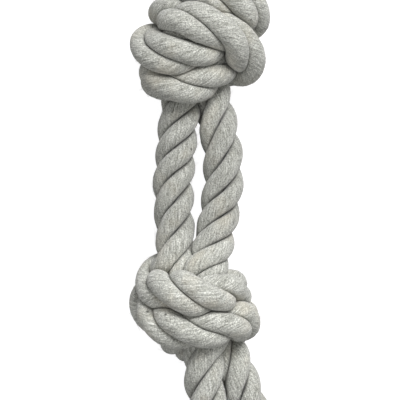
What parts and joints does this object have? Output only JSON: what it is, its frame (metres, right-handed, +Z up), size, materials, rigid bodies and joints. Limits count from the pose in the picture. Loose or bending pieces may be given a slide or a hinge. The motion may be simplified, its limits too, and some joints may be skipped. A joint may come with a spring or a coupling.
{
  "type": "rope dog toy",
  "caption": "Rope dog toy for chewing and tugging: thick laid cotton ropes side by side, tied together in large overhand knots, with frayed tassel ends.",
  "frame": {"origin": "on the ground, under the middle of the toy's box, as it lies on its knots", "axes": "+X along the toy from the lower knot of the picture to the upper one, +Y to the left in the picture, +Z up, towards the viewer of the picture"},
  "size_m": [0.3596, 0.0788, 0.0699],
  "materials": {
    "cotton_rope": "heathered grey cotton yarn, soft and matt, with fine fibres standing proud"
  },
  "bodies": {
    "root": {"rope_a_strand_1": "cotton_rope", "rope_a_strand_2": "cotton_rope", "rope_a_strand_3": "cotton_rope", "rope_b_strand_1": "cotton_rope", "rope_b_strand_2": "cotton_rope", "rope_b_strand_3": "cotton_rope"}
  },
  "joints": []
}
